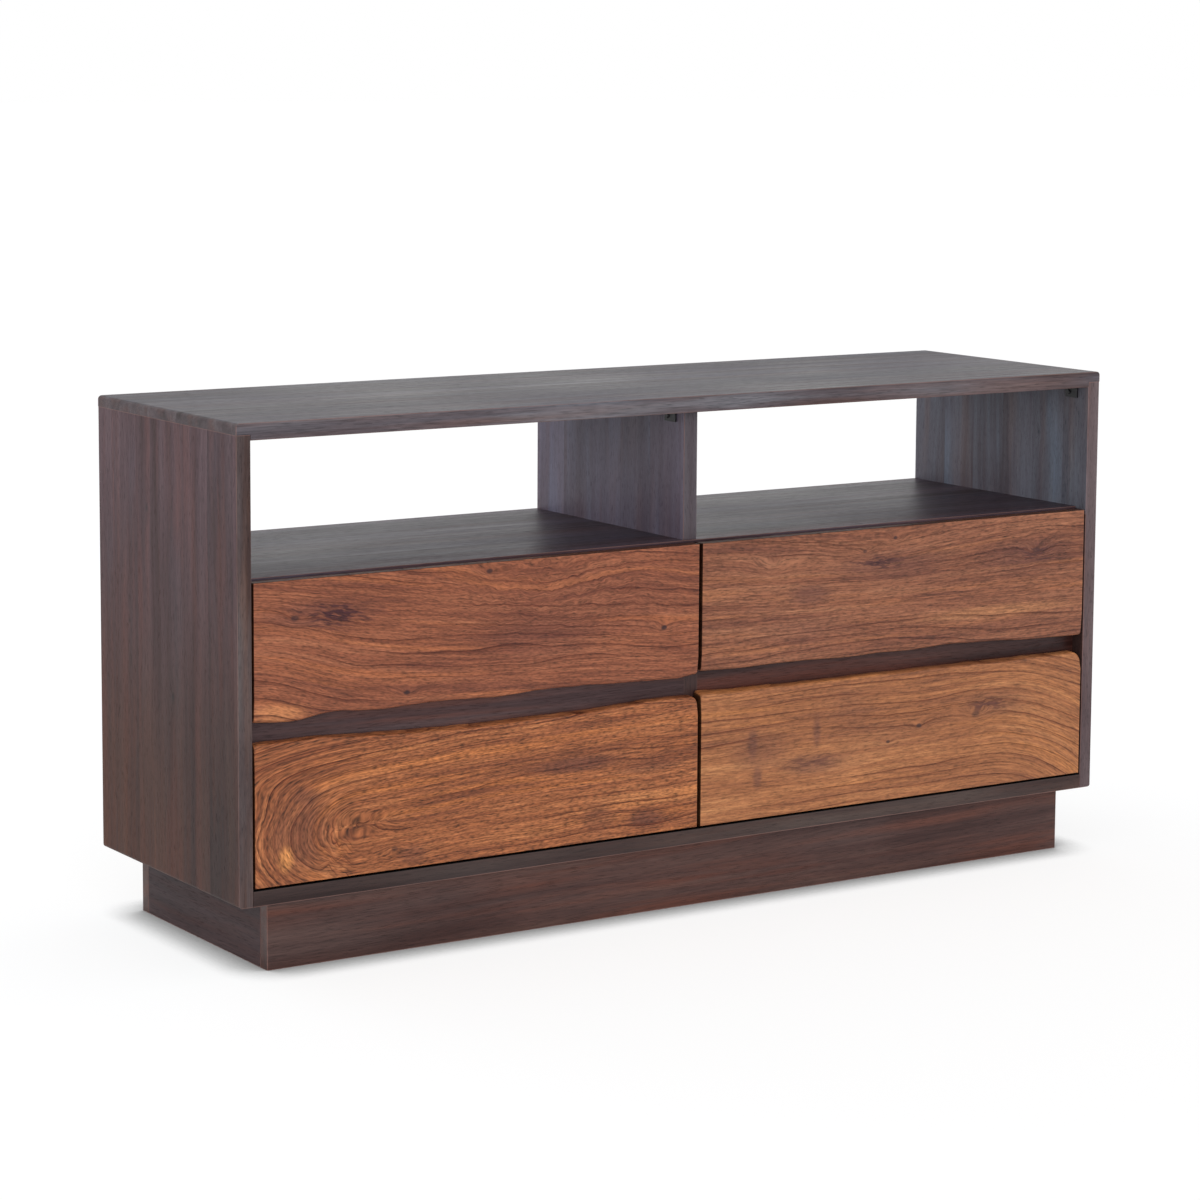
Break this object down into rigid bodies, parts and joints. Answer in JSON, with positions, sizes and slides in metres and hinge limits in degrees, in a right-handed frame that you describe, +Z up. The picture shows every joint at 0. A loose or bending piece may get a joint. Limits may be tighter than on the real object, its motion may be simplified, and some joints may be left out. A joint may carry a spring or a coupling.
{
  "type": "dresser",
  "caption": "Wide low cabinet on a recessed plinth, with open cubbies above drawers whose live-edge fronts form a wavy finger gap.",
  "frame": {"origin": "on the floor under the middle of the cabinet", "axes": "+X along the width, drawers open towards -Y, +Z up"},
  "size_m": [1.524, 0.438, 0.766],
  "materials": {
    "stained_walnut": "dark stain, satin lacquer",
    "live_edge_wood": "oiled, knotty, with the tree's edge",
    "box_wood": "clear lacquer",
    "plywood": "plain sanded plywood",
    "zinc_steel": "zinc plated",
    "black_steel": "black powder coat"
  },
  "bodies": {
    "cabinet": {"top_panel": "stained_walnut", "left_side_panel": "stained_walnut", "right_side_panel": "stained_walnut", "bottom_panel": "stained_walnut", "cubby_shelf": "stained_walnut", "cubby_divider": "stained_walnut", "drawer_partition": "stained_walnut", "left_rail": "stained_walnut", "right_rail": "stained_walnut", "back_panel": "plywood", "plinth_front": "stained_walnut", "plinth_back": "stained_walnut", "plinth_left": "stained_walnut", "plinth_right": "stained_walnut", "plinth_braces": "box_wood", "plinth_glue_blocks": "box_wood", "corner_brackets": "black_steel", "bracket_screws": "black_steel", "back_panel_screws": "zinc_steel", "lower_left_slide_cabinet": "zinc_steel", "lower_right_slide_cabinet": "zinc_steel", "upper_left_slide_cabinet": "zinc_steel", "upper_right_slide_cabinet": "zinc_steel"},
    "lower_left_drawer": {"lower_left_front": "live_edge_wood", "lower_left_box_front": "box_wood", "lower_left_box_back": "box_wood", "lower_left_box_left": "box_wood", "lower_left_box_right": "box_wood", "lower_left_box_bottom": "plywood", "lower_left_slide_drawer": "zinc_steel", "lower_left_front_screws": "zinc_steel"},
    "lower_right_drawer": {"lower_right_front": "live_edge_wood", "lower_right_box_front": "box_wood", "lower_right_box_back": "box_wood", "lower_right_box_left": "box_wood", "lower_right_box_right": "box_wood", "lower_right_box_bottom": "plywood", "lower_right_slide_drawer": "zinc_steel", "lower_right_front_screws": "zinc_steel"},
    "upper_left_drawer": {"upper_left_front": "live_edge_wood", "upper_left_box_front": "box_wood", "upper_left_box_back": "box_wood", "upper_left_box_left": "box_wood", "upper_left_box_right": "box_wood", "upper_left_box_bottom": "plywood", "upper_left_slide_drawer": "zinc_steel", "upper_left_front_screws": "zinc_steel"},
    "upper_right_drawer": {"upper_right_front": "live_edge_wood", "upper_right_box_front": "box_wood", "upper_right_box_back": "box_wood", "upper_right_box_left": "box_wood", "upper_right_box_right": "box_wood", "upper_right_box_bottom": "plywood", "upper_right_slide_drawer": "zinc_steel", "upper_right_front_screws": "zinc_steel"},
    "lower_left_slide_middles": {"lower_left_slide_middle": "zinc_steel"},
    "lower_right_slide_middles": {"lower_right_slide_middle": "zinc_steel"},
    "upper_left_slide_middles": {"upper_left_slide_middle": "zinc_steel"},
    "upper_right_slide_middles": {"upper_right_slide_middle": "zinc_steel"}
  },
  "joints": [
    {"name": "lower_left_drawer_slide", "type": "slide", "parent": "cabinet", "child": "lower_left_drawer", "axis": [0, -1, 0], "range_m": [0, 0.35]},
    {"name": "lower_right_drawer_slide", "type": "slide", "parent": "cabinet", "child": "lower_right_drawer", "axis": [0, -1, 0], "range_m": [0, 0.35]},
    {"name": "upper_left_drawer_slide", "type": "slide", "parent": "cabinet", "child": "upper_left_drawer", "axis": [0, -1, 0], "range_m": [0, 0.35]},
    {"name": "upper_right_drawer_slide", "type": "slide", "parent": "cabinet", "child": "upper_right_drawer", "axis": [0, -1, 0], "range_m": [0, 0.35]},
    {"name": "lower_left_middle_slide", "type": "slide", "parent": "cabinet", "child": "lower_left_slide_middles", "axis": [0, -1, 0], "range_m": [0, 0.175]},
    {"name": "lower_right_middle_slide", "type": "slide", "parent": "cabinet", "child": "lower_right_slide_middles", "axis": [0, -1, 0], "range_m": [0, 0.175]},
    {"name": "upper_left_middle_slide", "type": "slide", "parent": "cabinet", "child": "upper_left_slide_middles", "axis": [0, -1, 0], "range_m": [0, 0.175]},
    {"name": "upper_right_middle_slide", "type": "slide", "parent": "cabinet", "child": "upper_right_slide_middles", "axis": [0, -1, 0], "range_m": [0, 0.175]}
  ],
  "couplings": [
    {"joint": "lower_left_middle_slide", "follows": "lower_left_drawer_slide", "ratio": 0.5},
    {"joint": "lower_right_middle_slide", "follows": "lower_right_drawer_slide", "ratio": 0.5},
    {"joint": "upper_left_middle_slide", "follows": "upper_left_drawer_slide", "ratio": 0.5},
    {"joint": "upper_right_middle_slide", "follows": "upper_right_drawer_slide", "ratio": 0.5}
  ]
}
